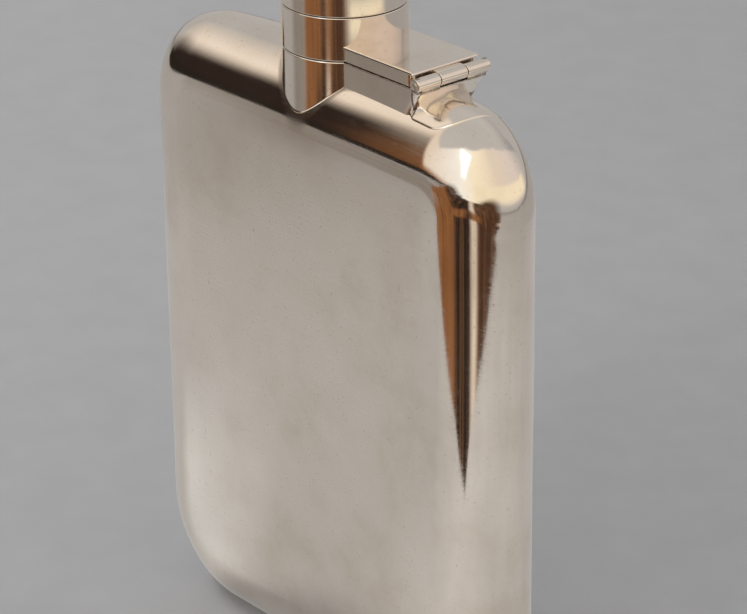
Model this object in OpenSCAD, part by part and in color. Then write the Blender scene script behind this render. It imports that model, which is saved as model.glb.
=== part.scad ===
// Pocket hip flask with a hinged bayonet cap.
// Origin: centre of the flat foot, +Z up through the neck, +X towards the hinge,
// -Y towards the front shell.  Millimetres.

/* [Body] */
// Width of the flask across the two rounded sides
body_w = 94; // [86:1:104]
// Height of the shoulder line above the flat foot
body_h = 116.8; // [104:0.2:130]
// Thickness of the flask, front shell to back shell
body_t = 23.2; // [22.6:0.2:25]
// Thickness of the stamped sheet
wall = 0.8; // [0.7:0.05:1]
// Outer radius of the two shoulder corners, seen from the front
top_corner_r = 16.5; // [15:0.5:18]
// Outer radius of the two lower corners, seen from the front
bottom_corner_r = 20.5; // [18:0.5:24]
// How much of the rounded underside is flattened into the foot
foot_cut = 1.7; // [1.4:0.1:2]

/* [Neck] */
// Bore radius of the neck tube
neck_bore_r = 7.1; // [6.9:0.1:7.2]
// Outer radius of the neck tube
neck_r = 8.0; // [7.9:0.05:8.05]
// Height of the neck tube above the collar
neck_rise = 5.4; // [5.2:0.1:5.6]
// Length of neck tube that hangs inside the flask
neck_drop = 10.8; // [9:0.2:12]
// Height of the collar's upper rim above the shoulder line
collar_rise = 1.45; // [1.2:0.05:1.8]

/* [Cap] */
// Outer radius of collar, hinge ring and cap
cap_r = 11; // [11:0.05:11.2]
// Height of the hinge ring that stays put while the cap turns
ring_h = 7.6; // [7.2:0.1:8]
// Height of the turning cap above the hinge ring
cap_h = 13.5; // [12:0.5:16]
// Wall of the turning cap
cap_wall = 0.8; // [0.7:0.05:0.9]
// Rise of the dome on top of the cap
cap_dome = 0.9; // [0.6:0.1:1.2]
// Gap left at each visible seam
seam = 0.15; // [0.12:0.01:0.2]

/* [Bayonet] */
// Outer radius of the sleeve that turns inside the hinge ring
sleeve_r = 9.85; // [9.84:0.01:9.86]
// Radial running gap between the sleeve and the hinge ring
run_gap = 0.05; // [0.03:0.01:0.06]
// Bore radius of the sleeve
sleeve_bore_r = 8.45; // [8.42:0.01:8.5]
// Width of each bayonet lug
lug_w = 2.4; // [2:0.1:2.6]
// Height of each bayonet lug
lug_h = 1.2; // [1:0.1:1.3]
// How far each lug stands out from the neck
lug_out = 1.2; // [1:0.05:1.25]
// Turn between open and locked
twist = 60; // [45:5:65]

/* [Hinge] */
// Distance from the neck axis to the hinge axis
hinge_x = 27.0; // [26.6:0.1:27.4]
// Height of the hinge axis above the seam under the hinge ring
hinge_up = 0.9; // [0.8:0.05:1]
// Radius of the hinge barrel
barrel_r = 1.2; // [1.15:0.05:1.25]
// Half length of the hinge barrel
barrel_half = 8.0; // [7.8:0.1:8.4]
// Half length of the middle knuckle
middle_half = 2.9; // [2.5:0.1:3.4]
// Radius of the hinge pin
pin_r = 0.6; // [0.55:0.01:0.62]
// Half width of the hinge leaf and of the block below it
leaf_half = 7.3; // [7:0.1:7.6]
// Thickness of the leaf under its top plate
leaf_t = 2.2; // [2.1:0.05:2.4]
// Thickness of the top plate
plate_t = 0.5; // [0.4:0.05:0.6]

// Radius of the hollow end face under the barrel
hollow_r = 13.8; // [12:0.2:16]
// Half width of the round-ended flange on the shoulder
flange_half = 7.5; // [7.4:0.05:7.8]
// How far the flange's round end reaches
flange_out = 6.0; // [4:0.5:7]
// Thickness of the flange
flange_t = 0.25; // [0.2:0.05:0.4]

/* [Hidden] */
$fn = 96;

er = body_t / 2;                       // edge radius: the sides are full half rounds
hw = body_w / 2;
ct = top_corner_r - er;                // corner radii measured on the centre line
cb = bottom_corner_r - er;
z_lo = er - foot_cut;                  // centre line of the bottom edge
z_hi = body_h - er;                    // centre line of the top edge
x_c = hw - er;                         // centre line of the sides
seam_z = body_h + collar_rise + seam;  // underside of the hinge ring
collar_top = seam_z - seam;
neck_top = collar_top + neck_rise + seam;
neck_bot = body_h - neck_drop;
ring_top = seam_z + ring_h;
cap_bot = ring_top + seam;
cap_z = cap_bot + cap_h;               // top of the dome
hinge_z = seam_z + hinge_up;
lug_top = neck_top - 1.3;
lug_z = lug_top - lug_h;
leaf_top = seam_z + leaf_t;
silver = [0.80, 0.77, 0.71];
bright = [0.86, 0.83, 0.77];
cork = [0.72, 0.55, 0.36];

// ---- half-shell section: flat wall at y = -er, then a quarter round to y = 0 ----
// a is the length of flat wall before the quarter round starts, along +x
module j_section(a, r, t) {
    translate([0, -r]) square([a, t]);
    translate([a, 0]) intersection() {
        difference() { circle(r); circle(r - t); }
        translate([0, -r - 1]) square([r + 1, r + 1]);
    }
}
// solid half section, used for pieces that fill or follow the inside
module d_section(a, r) {
    translate([0, -r]) square([a, r]);
    translate([a, 0]) intersection() {
        circle(r);
        translate([0, -r - 1]) square([r + 1, r + 1]);
    }
}
// one corner of the pillow: the section swept a quarter turn about a y-parallel axis
module corner(cx, cz, c, turn) {
    translate([cx, 0, cz]) rotate([0, turn, 0]) rotate([-90, 0, 0])
        rotate_extrude(angle = 90) children();
}
// a straight edge: section x runs outwards, swept for len along the edge
module side_edge(x0, z0, z1, sgn) {
    translate([x0, 0, z0]) mirror([sgn < 0 ? 1 : 0, 0, 0])
        linear_extrude(height = z1 - z0) children();
}
module flat_edge(z0, x0, x1, sgn) {
    translate([x0, 0, z0]) mirror([0, 0, sgn < 0 ? 1 : 0])
        rotate([0, 90, 0]) linear_extrude(height = x1 - x0) rotate([0, 0, 180]) mirror([0, 1]) children();
}

module half_shell() {
    difference() {
        union() {
            // flat panel
            translate([-(x_c - cb), -er, z_lo + cb])
                cube([2 * (x_c - cb), wall, z_hi - ct - z_lo - cb]);
            // panel strips towards the sides and the edges with their rounds
            for (s = [-1, 1])
                side_edge(s * (x_c - cb), z_lo + cb, z_hi - ct, s) j_section(cb, er, wall);
            flat_edge(z_hi - ct, -(x_c - ct), x_c - ct, 1) j_section(ct, er, wall);
            flat_edge(z_lo + cb, -(x_c - cb), x_c - cb, -1) j_section(cb, er, wall);
            corner(x_c - ct, z_hi - ct, ct, -90) j_section(ct, er, wall);
            corner(-(x_c - ct), z_hi - ct, ct, 180) j_section(ct, er, wall);
            corner(x_c - cb, z_lo + cb, cb, 0) j_section(cb, er, wall);
            corner(-(x_c - cb), z_lo + cb, cb, 90) j_section(cb, er, wall);
        }
        translate([-body_w, -body_t, -5]) cube([2 * body_w, 2 * body_t, 5]);
        translate([0, 0, neck_bot - 1]) cylinder(r = neck_r, h = 40);
    }
}
module front_shell() { color(silver) half_shell(); }
module back_shell() { color(silver) mirror([0, 1, 0]) half_shell(); }

// foot: a flat strip that closes the flattened underside from inside
module base_plate() {
    color(silver) intersection() {
        translate([-hw, -er, 0]) cube([body_w, body_t, 1.0]);
        union() for (m = [0, 1]) mirror([0, m, 0]) {
            flat_edge(z_lo + cb, -(x_c - cb), x_c - cb, -1) d_section(cb, er - wall);
            corner(x_c - cb, z_lo + cb, cb, 0) d_section(cb, er - wall);
            corner(-(x_c - cb), z_lo + cb, cb, 90) d_section(cb, er - wall);
        }
    }
}

module tube(r1, r2, z0, z1) {
    translate([0, 0, z0]) difference() {
        cylinder(r = r2, h = z1 - z0);
        translate([0, 0, -1]) cylinder(r = r1, h = z1 - z0 + 2);
    }
}
module shoulder_round(r) {
    translate([-hw, 0, z_hi]) rotate([0, 90, 0]) cylinder(r = r, h = body_w);
}

// ---- neck ----
module neck_tube() {
    color(bright) rotate_extrude() polygon([
        [neck_bore_r, neck_bot], [neck_r, neck_bot], [neck_r, neck_top - 0.25],
        [neck_r - 0.25, neck_top], [neck_bore_r, neck_top]]);
}
// reinforcing ring soldered round the neck under the shoulder
module neck_saddle() {
    color(silver) intersection() {
        tube(neck_r, neck_r + 1.8, body_h - 9.2, body_h + 1);
        shoulder_round(er - wall);
    }
}
module neck_collar() {
    color(silver) difference() {
        rotate_extrude() polygon([
            [neck_r, body_h - 10], [cap_r, body_h - 10],
            [cap_r, collar_top - 0.35], [cap_r - 0.3, collar_top], [neck_r, collar_top]]);
        shoulder_round(er);
    }
}
// two lugs on the neck, front and back
module bayonet_lugs() {
    color(bright) for (s = [0, 180]) rotate([0, 0, s])
        intersection() {
            tube(neck_r, neck_r + lug_out, lug_z, lug_top);
            translate([-lug_w / 2, -20, lug_z - 1]) cube([lug_w, 20, lug_h + 2]);
        }
}

// ---- hinge, lower half ----
block_x = hinge_x + barrel_r;          // outer end of the block under the barrel
flange_x = 30.0;                       // the flange's end is round from here on
// solid of the shoulder and its corner on the hinge side, with edge radius r
module shoulder_right(r) {
    translate([0, 0, z_hi]) rotate([0, 90, 0]) cylinder(r = r, h = x_c - ct);
    for (m = [0, 1]) mirror([0, m, 0])
        corner(x_c - ct, z_hi - ct, ct, -90) d_section(ct, r);
}
module hinge_block() {
    color(silver) difference() {
        union() {
            difference() {
                translate([0, -leaf_half, body_h - 8]) cube([block_x, 2 * leaf_half, collar_top - body_h + 8]);
                // end face that sweeps in under the barrel
                translate([hinge_x + hollow_r - 2.2, 0, seam_z - 8.7]) rotate([90, 0, 0])
                    cylinder(r = hollow_r, h = 40, center = true);
            }
            // thin round-ended flange that lies on the shoulder
            intersection() {
                translate([0, 0, body_h - 8]) linear_extrude(height = 12) union() {
                    translate([flange_x - 10, -flange_half]) square([10, 2 * flange_half]);
                    translate([flange_x, 0]) scale([flange_out / flange_half, 1]) circle(flange_half);
                }
                shoulder_right(er + flange_t);
            }
        }
        // room for the barrel
        translate([hinge_x, 0, hinge_z]) rotate([90, 0, 0])
            cylinder(r = barrel_r + 0.2, h = 40, center = true);
        translate([0, 0, body_h - 20]) cylinder(r = cap_r, h = 60);
        shoulder_right(er);
    }
}
module knuckle(y0, y1, bore) {
    translate([hinge_x, y1, hinge_z]) rotate([90, 0, 0]) difference() {
        cylinder(r = barrel_r, h = y1 - y0);
        translate([0, 0, -1]) cylinder(r = bore, h = y1 - y0 + 2);
    }
}
// outer two knuckles, each with a foot down to the block
module lower_knuckles() {
    color(bright) for (s = [-1, 1]) {
        y0 = s < 0 ? -barrel_half : middle_half + seam;
        y1 = s < 0 ? -middle_half - seam : barrel_half;
        f0 = max(y0, -leaf_half);
        f1 = min(y1, leaf_half);
        union() {
            knuckle(y0, y1, pin_r);
            difference() {
                intersection() {
                    translate([hinge_x, f1, hinge_z]) rotate([90, 0, 0])
                        cylinder(r = barrel_r + 0.2, h = f1 - f0);
                    translate([hinge_x - 0.9, f0, hinge_z - 3]) cube([1.8, f1 - f0, 3]);
                }
                translate([hinge_x, 0, hinge_z]) rotate([90, 0, 0])
                    cylinder(r = 1.0, h = 40, center = true);
            }
        }
    }
}
module hinge_pin() {
    color(bright) translate([hinge_x, barrel_half + 0.05, hinge_z]) rotate([90, 0, 0])
        cylinder(r = pin_r, h = 2 * barrel_half + 0.1);
}

// ---- hinge leaf, upper half: the ring does not turn, the cap turns in it ----
ring_bore = sleeve_r + run_gap;
lip_r = ring_bore + 0.6;               // counterbore that traps the retaining ring
lip_h = 1.2;
module hinge_ring() {
    color(bright) rotate_extrude() polygon([
        [lip_r, seam_z], [cap_r - 0.2, seam_z], [cap_r, seam_z + 0.2],
        [cap_r, ring_top - 0.15], [cap_r - 0.15, ring_top], [ring_bore, ring_top],
        [ring_bore, seam_z + lip_h], [lip_r, seam_z + lip_h]]);
}
leaf_end = hinge_x - barrel_r - 0.25;
module leaf_body() {
    color(silver) difference() {
        translate([0, -leaf_half + 0.15, seam_z]) cube([leaf_end, 2 * leaf_half - 0.3, leaf_t]);
        translate([0, 0, seam_z - 1]) cylinder(r = cap_r, h = 20);
    }
}
module leaf_plate() {
    color(bright) difference() {
        translate([0, -leaf_half - 0.1, leaf_top]) cube([hinge_x - barrel_r + 0.1, 2 * leaf_half + 0.2, plate_t]);
        translate([0, 0, seam_z - 1]) cylinder(r = cap_r, h = 20);
    }
}
module middle_knuckle() {
    color(bright) difference() {
        union() {
            translate([hinge_x, middle_half, hinge_z]) rotate([90, 0, 0])
                cylinder(r = barrel_r, h = 2 * middle_half);
            translate([leaf_end, -middle_half, hinge_z - 0.5])
                cube([hinge_x - leaf_end, 2 * middle_half, leaf_top - hinge_z + 0.5]);
        }
        translate([hinge_x, 0, hinge_z]) rotate([90, 0, 0])
            cylinder(r = pin_r + 0.05, h = 40, center = true);
    }
}

// ---- cap ----
shell_top = cap_z - cap_dome - 1.6;
module cap_shell() {
    color(silver) rotate_extrude() polygon([
        [cap_r - cap_wall, cap_bot], [cap_r - 0.15, cap_bot], [cap_r, cap_bot + 0.15],
        [cap_r, shell_top], [cap_r - cap_wall, shell_top]]);
}
// domed lid of the cap with a rolled edge
dome_r = (pow(cap_r - 1.6, 2) + pow(cap_dome, 2)) / (2 * cap_dome);
module cap_top() {
    color(silver) rotate_extrude() union() {
        difference() {
            union() {
                square_from(0, shell_top, cap_r - 1.6, cap_z - cap_dome);
                intersection() {
                    translate([cap_r - 1.6, shell_top]) circle(r = 1.6);
                    square_from(cap_r - 1.6, shell_top, cap_r, shell_top + 1.6);
                }
                intersection() {
                    translate([0, cap_z - dome_r]) circle(r = dome_r, $fn = 360);
                    square_from(0, cap_z - cap_dome, cap_r - 1.6, cap_z);
                }
            }
            square_from(-1, shell_top - 1, cap_r - 2.4, shell_top + 0.8);
        }
    }
}
module square_from(x0, y0, x1, y1) { translate([x0, y0]) square([x1 - x0, y1 - y0]); }

sleeve_bot = seam_z + 0.25;
sleeve_top = ring_top + 1.4;
slot_w = lug_w + 1.6;
slot_top = lug_top + 0.35;
module bayonet_sleeve() {
    color(bright) difference() {
        rotate_extrude() polygon([
            [sleeve_bore_r, sleeve_bot], [sleeve_r, sleeve_bot], [sleeve_r, cap_bot],
            [cap_r - cap_wall, cap_bot], [cap_r - cap_wall, sleeve_top], [sleeve_bore_r, sleeve_top]]);
        for (s = [0, 180]) rotate([0, 0, s]) {
            // way in for the lug
            translate([-slot_w / 2, -15, sleeve_bot - 1]) cube([slot_w, 14.2, slot_top - sleeve_bot + 1]);
            // way round for the lug
            rotate([0, 0, -90 - twist - 14]) translate([0, 0, lug_z - 0.25])
                rotate_extrude(angle = twist + 14) translate([sleeve_bore_r - 1, 0])
                    square([sleeve_r - sleeve_bore_r + 2, slot_top - lug_z + 0.25]);
        }
    }
}
module retaining_ring() {
    color(bright) tube(sleeve_r, lip_r - 0.1, seam_z + 0.15, seam_z + lip_h - 0.15);
}
cork_z = neck_top + 0.15;
cork_t = 2.0;
module cork_disc() {
    color(cork) rotate_extrude() polygon([
        [2.4, cork_z], [sleeve_bore_r - 0.1, cork_z], [sleeve_bore_r - 0.1, cork_z + cork_t],
        [0.8, cork_z + cork_t], [0.8, cork_z + 0.6], [2.4, cork_z + 0.6]]);
}
module cork_plate() {
    color(bright) rotate_extrude() polygon([
        [0.8, cork_z + cork_t], [sleeve_bore_r, cork_z + cork_t],
        [sleeve_bore_r, cork_z + cork_t + 0.6], [0.8, cork_z + cork_t + 0.6]]);
}
module cork_rivet() {
    color(bright) rotate_extrude() polygon([
        [0, cork_z + 0.1], [2.2, cork_z + 0.1], [2.4, cork_z + 0.3], [2.4, cork_z + 0.6],
        [0.8, cork_z + 0.6], [0.8, cork_z + cork_t + 0.6], [1.7, cork_z + cork_t + 0.6],
        [1.4, cork_z + cork_t + 1.2], [0, cork_z + cork_t + 1.3]]);
}

front_shell();
back_shell();
base_plate();
neck_tube();
neck_saddle();
neck_collar();
bayonet_lugs();
hinge_block();
lower_knuckles();
hinge_pin();
hinge_ring();
leaf_body();
leaf_plate();
middle_knuckle();
cap_shell();
cap_top();
bayonet_sleeve();
retaining_ring();
cork_disc();
cork_plate();
cork_rivet();
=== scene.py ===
import bpy, bmesh, math
import numpy as np
from mathutils import Matrix, Vector

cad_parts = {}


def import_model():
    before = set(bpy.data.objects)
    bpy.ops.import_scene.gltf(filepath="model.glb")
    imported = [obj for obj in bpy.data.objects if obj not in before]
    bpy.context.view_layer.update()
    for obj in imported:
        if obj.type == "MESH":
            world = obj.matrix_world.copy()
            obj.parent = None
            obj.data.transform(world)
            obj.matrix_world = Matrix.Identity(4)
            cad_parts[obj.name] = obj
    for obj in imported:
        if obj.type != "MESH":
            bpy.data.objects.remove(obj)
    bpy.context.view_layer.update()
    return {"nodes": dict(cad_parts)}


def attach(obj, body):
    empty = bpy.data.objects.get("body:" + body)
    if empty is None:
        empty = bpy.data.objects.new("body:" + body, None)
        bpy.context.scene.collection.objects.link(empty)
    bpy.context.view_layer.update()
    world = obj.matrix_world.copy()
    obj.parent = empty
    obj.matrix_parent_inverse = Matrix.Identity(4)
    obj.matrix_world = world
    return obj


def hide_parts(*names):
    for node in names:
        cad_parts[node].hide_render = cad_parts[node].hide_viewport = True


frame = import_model()
MM = 0.001
scene = bpy.context.scene

# ------------------------------------------------------------------ camera
# The view: azimuth from -Y towards +X, elevation, roll, distance (mm), focal length (px at 747 px)
AZ, EL, ROLL, DIST, FPX = 49.528, 24.335, -0.6576, 555.50, 3120.92
TX, TZ = 4.321, 68.140


def camera():
    a, e, ro = (math.radians(v) for v in (AZ, EL, ROLL))
    b = Vector((math.sin(a) * math.cos(e), -math.cos(a) * math.cos(e), math.sin(e)))
    r = Vector((math.cos(a), math.sin(a), 0))
    u = b.cross(r)
    r2 = r * math.cos(ro) + u * math.sin(ro)
    u2 = -r * math.sin(ro) + u * math.cos(ro)
    c = r * TX + Vector((0, 0, TZ)) + b * DIST
    data = bpy.data.cameras.new("camera")
    data.sensor_width = 36.0
    data.lens = FPX * 36.0 / 747.0
    data.clip_start, data.clip_end = 0.01, 20.0
    cam = bpy.data.objects.new("camera", data)
    m = Matrix((r2, u2, b)).transposed().to_4x4()
    m.translation = c * MM
    cam.matrix_world = m
    scene.collection.objects.link(cam)
    scene.camera = cam


camera()
scene.view_settings.view_transform = "Standard"
scene.view_settings.look = "None"

# ------------------------------------------------------------------ node helpers


class Mat:
    """A small helper for building node materials."""

    def __init__(self, name):
        self.m = bpy.data.materials.new(name)
        self.m.use_nodes = True
        self.t = self.m.node_tree
        self.t.nodes.clear()
        self.out = self.t.nodes.new("ShaderNodeOutputMaterial")
        self.co = self.t.nodes.new("ShaderNodeTexCoord").outputs["Object"]

    def n(self, kind, **props):
        node = self.t.nodes.new("ShaderNode" + kind)
        for k, v in props.items():
            setattr(node, k, v)
        return node

    def link(self, a, b):
        self.t.links.new(a, b)

    def put(self, socket, v):
        if hasattr(v, "is_linked") or isinstance(v, bpy.types.NodeSocket):
            self.link(v, socket)
        else:
            socket.default_value = v

    def math(self, op, a, b=0.0, c=0.0, clamp=False):
        k = self.n("Math", operation=op, use_clamp=clamp)
        for s, v in zip(k.inputs, (a, b, c)):
            self.put(s, v)
        return k.outputs[0]

    def scaled(self, scale, src=None, rot=(0, 0, 0)):
        k = self.n("Mapping")
        self.link(src or self.co, k.inputs["Vector"])
        k.inputs["Scale"].default_value = scale
        k.inputs["Rotation"].default_value = rot
        return k.outputs[0]

    def noise(self, scale, detail=4.0, rough=0.55, vec=None, dist=0.0, out="Fac"):
        k = self.n("TexNoise")
        self.link(vec or self.co, k.inputs["Vector"])
        k.inputs["Scale"].default_value = scale
        k.inputs["Detail"].default_value = detail
        k.inputs["Roughness"].default_value = rough
        k.inputs["Distortion"].default_value = dist
        return k.outputs[out]

    def ramp(self, fac, stops, mode="LINEAR"):
        k = self.n("ValToRGB")
        k.color_ramp.interpolation = mode
        e = k.color_ramp.elements
        while len(e) > len(stops):
            e.remove(e[-1])
        while len(e) < len(stops):
            e.new(0.5)
        for el, (p, c) in zip(e, stops):
            el.position = p
            el.color = (c, c, c, 1) if isinstance(c, (int, float)) else (*c[:3], 1)
        self.link(fac, k.inputs[0])
        return k.outputs["Color"]

    def mix(self, fac, a, b, blend="MIX"):
        k = self.n("Mix", data_type="RGBA", blend_type=blend)
        self.put(k.inputs[0], fac)
        for i, v in ((6, a), (7, b)):
            self.put(k.inputs[i], (*v, 1) if isinstance(v, tuple) and len(v) == 3 else v)
        return k.outputs[2]

    def bump(self, height, strength, distance, normal=None):
        k = self.n("Bump")
        k.inputs["Strength"].default_value = strength
        k.inputs["Distance"].default_value = distance
        self.link(height, k.inputs["Height"])
        if normal is not None:
            self.link(normal, k.inputs["Normal"])
        return k.outputs[0]

    def range(self, v, a0, a1, b0, b1, smooth=False):
        k = self.n("MapRange", interpolation_type="SMOOTHSTEP" if smooth else "LINEAR")
        self.put(k.inputs["Value"], v)
        k.inputs["From Min"].default_value = a0
        k.inputs["From Max"].default_value = a1
        k.inputs["To Min"].default_value = b0
        k.inputs["To Max"].default_value = b1
        return k.outputs["Result"]

    def principled(self, **kw):
        k = self.n("BsdfPrincipled")
        for name, v in kw.items():
            self.put(k.inputs[name.replace("_", " ")], v)
        self.link(k.outputs[0], self.out.inputs["Surface"])
        return k


def silver(name, light, dark, r0, r1, scratch=1.0, hair=(60, 60, 2600), grain=1.0, edge=None, painted_shade=None):
    """Worn silver plate: cloudy tarnish, fine hairline scratches, tiny nicks and uneven polish, and painted shade from
    the given mask.
    edge: (r0, r1) roughness where the attribute 'edge' is 1."""
    k = Mat(name)
    cloud = k.noise(55.0, 5.0, 0.6)
    fine = k.noise(420.0, 4.0, 0.6)
    spots = k.noise(1500.0, 3.0, 0.65)
    # scratches: noise drawn out along one direction, two families
    s1 = k.noise(1.0, 3.0, 0.6, k.scaled(hair))
    s2 = k.noise(1.0, 2.0, 0.5, k.scaled((hair[0] * 2.2, hair[1] * 2.2, hair[2] * 0.8), rot=(0.0, 0.5, 0.2)))
    hairs = k.ramp(s1, [(0.44, 0.0), (0.50, 1.0), (0.56, 0.0)])
    hairs2 = k.ramp(s2, [(0.60, 0.0), (0.66, 1.0), (0.70, 0.0)])
    tone = k.ramp(cloud, [(0.30, 1.0), (0.48, 0.35), (0.66, 0.0)])
    col = k.mix(tone, (*light, 1), (*dark, 1))
    dots = k.ramp(spots, [(0.62, 0.0), (0.74, 1.0)])
    col = k.mix(k.math("MULTIPLY", dots, 0.35), col, (dark[0] * 0.62, dark[1] * 0.58, dark[2] * 0.52, 1))
    rough = k.range(cloud, 0.30, 0.70, r0, r1)
    if edge:
        at = k.n("Attribute", attribute_name="edge").outputs["Fac"]
        rough = k.n("Mix", data_type="FLOAT")
        k.put(rough.inputs[0], at)
        k.put(rough.inputs[2], k.range(cloud, 0.30, 0.70, r0, r1))
        k.put(rough.inputs[3], k.range(cloud, 0.30, 0.70, edge[0], edge[1]))
        rough = rough.outputs[0]
    rough = k.math("ADD", rough, k.math("MULTIPLY", hairs, 0.030 * scratch))
    rough = k.math("ADD", rough, k.math("MULTIPLY", dots, 0.10))
    # painted shade: the given mask darkens the colour where shade falls in corners and slots, and makes it rougher
    if painted_shade:
        g = painted_shade(k)
        col = k.mix(k.math("MULTIPLY", g, 0.9), col, (dark[0] * 0.16, dark[1] * 0.12, dark[2] * 0.09, 1))
        rough = k.math("ADD", rough, k.math("MULTIPLY", g, 0.25))
    nrm = k.bump(hairs, 0.045 * scratch, 0.000008)
    nrm = k.bump(hairs2, 0.05 * scratch, 0.000008, nrm)
    nrm = k.bump(fine, 0.05 * grain, 0.00003, nrm)
    nrm = k.bump(dots, 0.10, 0.00001, nrm)
    k.principled(Metallic=1.0, Base_Color=col, Roughness=rough, Normal=nrm)
    return k.m


LIGHT = (0.930, 0.845, 0.760)
DARK = (0.800, 0.700, 0.600)


def collar_painted_shade(k):
    """Painted shade: a dark line in the corner between collar and shoulder."""
    s = k.n("SeparateXYZ")
    k.link(k.co, s.inputs[0])
    r = k.math("SQRT", k.math("ADD", k.math("POWER", s.outputs[0], 2.0), k.math("POWER", s.outputs[1], 2.0)))
    near = k.range(r, 0.01125, 0.01190, 1.0, 0.0, True)
    high = k.range(s.outputs[2], 0.104, 0.106, 0.0, 1.0)
    return k.math("MULTIPLY", k.math("MULTIPLY", near, high), 0.55)


M_BODY = silver("satin_silver", LIGHT, DARK, 0.19, 0.26, scratch=1.2, hair=(45, 45, 2400), grain=1.0,
                edge=(0.045, 0.085), painted_shade=collar_painted_shade)
M_FOOT = silver("satin_silver_foot", LIGHT, DARK, 0.26, 0.40, scratch=1.6, hair=(300, 300, 300))
M_CAP = silver("polished_silver", (0.935, 0.850, 0.765), DARK, 0.075, 0.13, scratch=0.8, hair=(90, 90, 2600), grain=0.8)


def hinge_painted_shade(k):
    """Painted shade in the slot between leaf and barrel, and in the corner under the barrel."""
    s = k.n("SeparateXYZ")
    k.link(k.co, s.inputs[0])
    x, y, z = s.outputs
    off = k.math("ABSOLUTE", y)
    ends = k.range(off, 0.0026, 0.0031, 0.45, 1.0, True)
    slot = k.math("MULTIPLY", k.math("GREATER_THAN", x, 0.0254), k.math("LESS_THAN", x, 0.02575))
    slot = k.math("MULTIPLY", k.math("MULTIPLY", slot, k.math("LESS_THAN", z, 0.12058)), ends)
    under = k.math("MULTIPLY", k.range(z, 0.11775, 0.11795, 0.0, 1.0, True), k.range(z, 0.11825, 0.11845, 1.0, 0.0, True))
    under = k.math("MULTIPLY", k.math("MULTIPLY", under, 0.7), k.math("GREATER_THAN", x, 0.0262))
    # painted shadow: dark line under the plate's overhang and in the seam under the leaf
    side = k.range(off, 0.0069, 0.0071, 0.0, 1.0)
    rim = k.math("MULTIPLY", k.range(z, 0.12038, 0.12052, 0.0, 0.85, True), k.math("LESS_THAN", z, 0.12059))
    seam = k.math("MULTIPLY", k.range(z, 0.11806, 0.11822, 0.0, 0.9, True), k.range(z, 0.11844, 0.11860, 1.0, 0.0, True))
    rim = k.math("MULTIPLY", k.math("MAXIMUM", rim, seam), side)
    n = k.range(k.noise(900.0, 3.0, 0.6), 0.35, 0.6, 0.55, 1.15)
    return k.math("MULTIPLY", k.math("MAXIMUM", k.math("MAXIMUM", slot, under), rim), n, clamp=True)


M_HINGE = silver("polished_silver_hinge", (0.930, 0.845, 0.760), DARK, 0.09, 0.15, scratch=1.2, hair=(2400, 90, 500), grain=1.0,
                 painted_shade=hinge_painted_shade)
M_BRIGHT = silver("bright_silver", (0.90, 0.83, 0.75), (0.70, 0.60, 0.50), 0.16, 0.26, scratch=1.0, hair=(60, 60, 3200), grain=0.6)
M_INNER = silver("inner_silver", (0.84, 0.75, 0.64), (0.60, 0.50, 0.40), 0.28, 0.42, scratch=1.4, hair=(200, 200, 900), grain=1.4)
M_PIN = silver("pin_steel", (0.62, 0.52, 0.42), (0.34, 0.26, 0.20), 0.24, 0.40, scratch=1.5, hair=(1500, 200, 1500), grain=1.5)


def cork():
    k = Mat("cork")
    cell = k.n("TexVoronoi", feature="F1")
    cell.inputs["Scale"].default_value = 900.0
    k.link(k.co, cell.inputs["Vector"])
    n = k.noise(240.0, 6.0, 0.65)
    pores = k.ramp(k.noise(700.0, 3.0, 0.7), [(0.58, 0.0), (0.66, 1.0)])
    col = k.ramp(n, [(0.30, (0.30, 0.17, 0.08)), (0.50, (0.52, 0.33, 0.18)), (0.72, (0.66, 0.46, 0.27))])
    col = k.mix(pores, col, (0.16, 0.08, 0.04, 1))
    h = k.math("SUBTRACT", cell.outputs["Distance"], k.math("MULTIPLY", pores, 0.8))
    k.principled(Base_Color=col, Roughness=k.range(n, 0.3, 0.7, 0.92, 0.72), Normal=k.bump(h, 0.5, 0.0002))
    return k.m


M_CORK = cork()

# ------------------------------------------------------------------ mesh helpers


def make(name, body, verts, faces, mat, normals=None, loops=None, sharp=None, edge=None):
    """verts in mm. normals: one per vertex, or loops: one per face corner."""
    if loops is not None:         # each face has to look the way its corners' normals look
        P = np.array(verts, float)
        size = np.array([len(f) for f in faces])
        start = np.concatenate([[0], np.cumsum(size)[:-1]])
        flat = np.fromiter((i for f in faces for i in f), int)
        L = np.array(loops, float)
        nxt = np.arange(len(flat)) + 1
        nxt[start + size - 1] = start
        area = np.add.reduceat(np.cross(P[flat], P[flat[nxt]]), start)
        want = np.add.reduceat(L, start)
        turn = (area * want).sum(1) < 0
        f2 = []
        for k, f in enumerate(faces):
            if turn[k]:
                a, b = start[k], start[k] + size[k]
                L[a:b] = L[a:b][::-1].copy()
                f = list(f)[::-1]
            f2.append(f)
        faces, loops = f2, L
    me = bpy.data.meshes.new(name)
    me.from_pydata([tuple(float(c) * MM for c in v) for v in verts], [], [tuple(int(i) for i in f) for f in faces])
    me.validate()
    me.shade_smooth()
    if sharp is not None:
        me.set_sharp_from_angle(angle=math.radians(sharp))
    if normals is not None:
        loops = [normals[l.vertex_index] for l in me.loops]
    if loops is not None:
        assert len(loops) == len(me.loops), name
        me.normals_split_custom_set([tuple(float(c) for c in n) for n in loops])
    if edge is not None:
        at = me.attributes.new("edge", "FLOAT", "POINT")
        at.data.foreach_set("value", np.asarray(edge, np.float32))
    me.materials.append(mat)
    ob = bpy.data.objects.new(name, me)
    scene.collection.objects.link(ob)
    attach(ob, body)
    return ob


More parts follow.
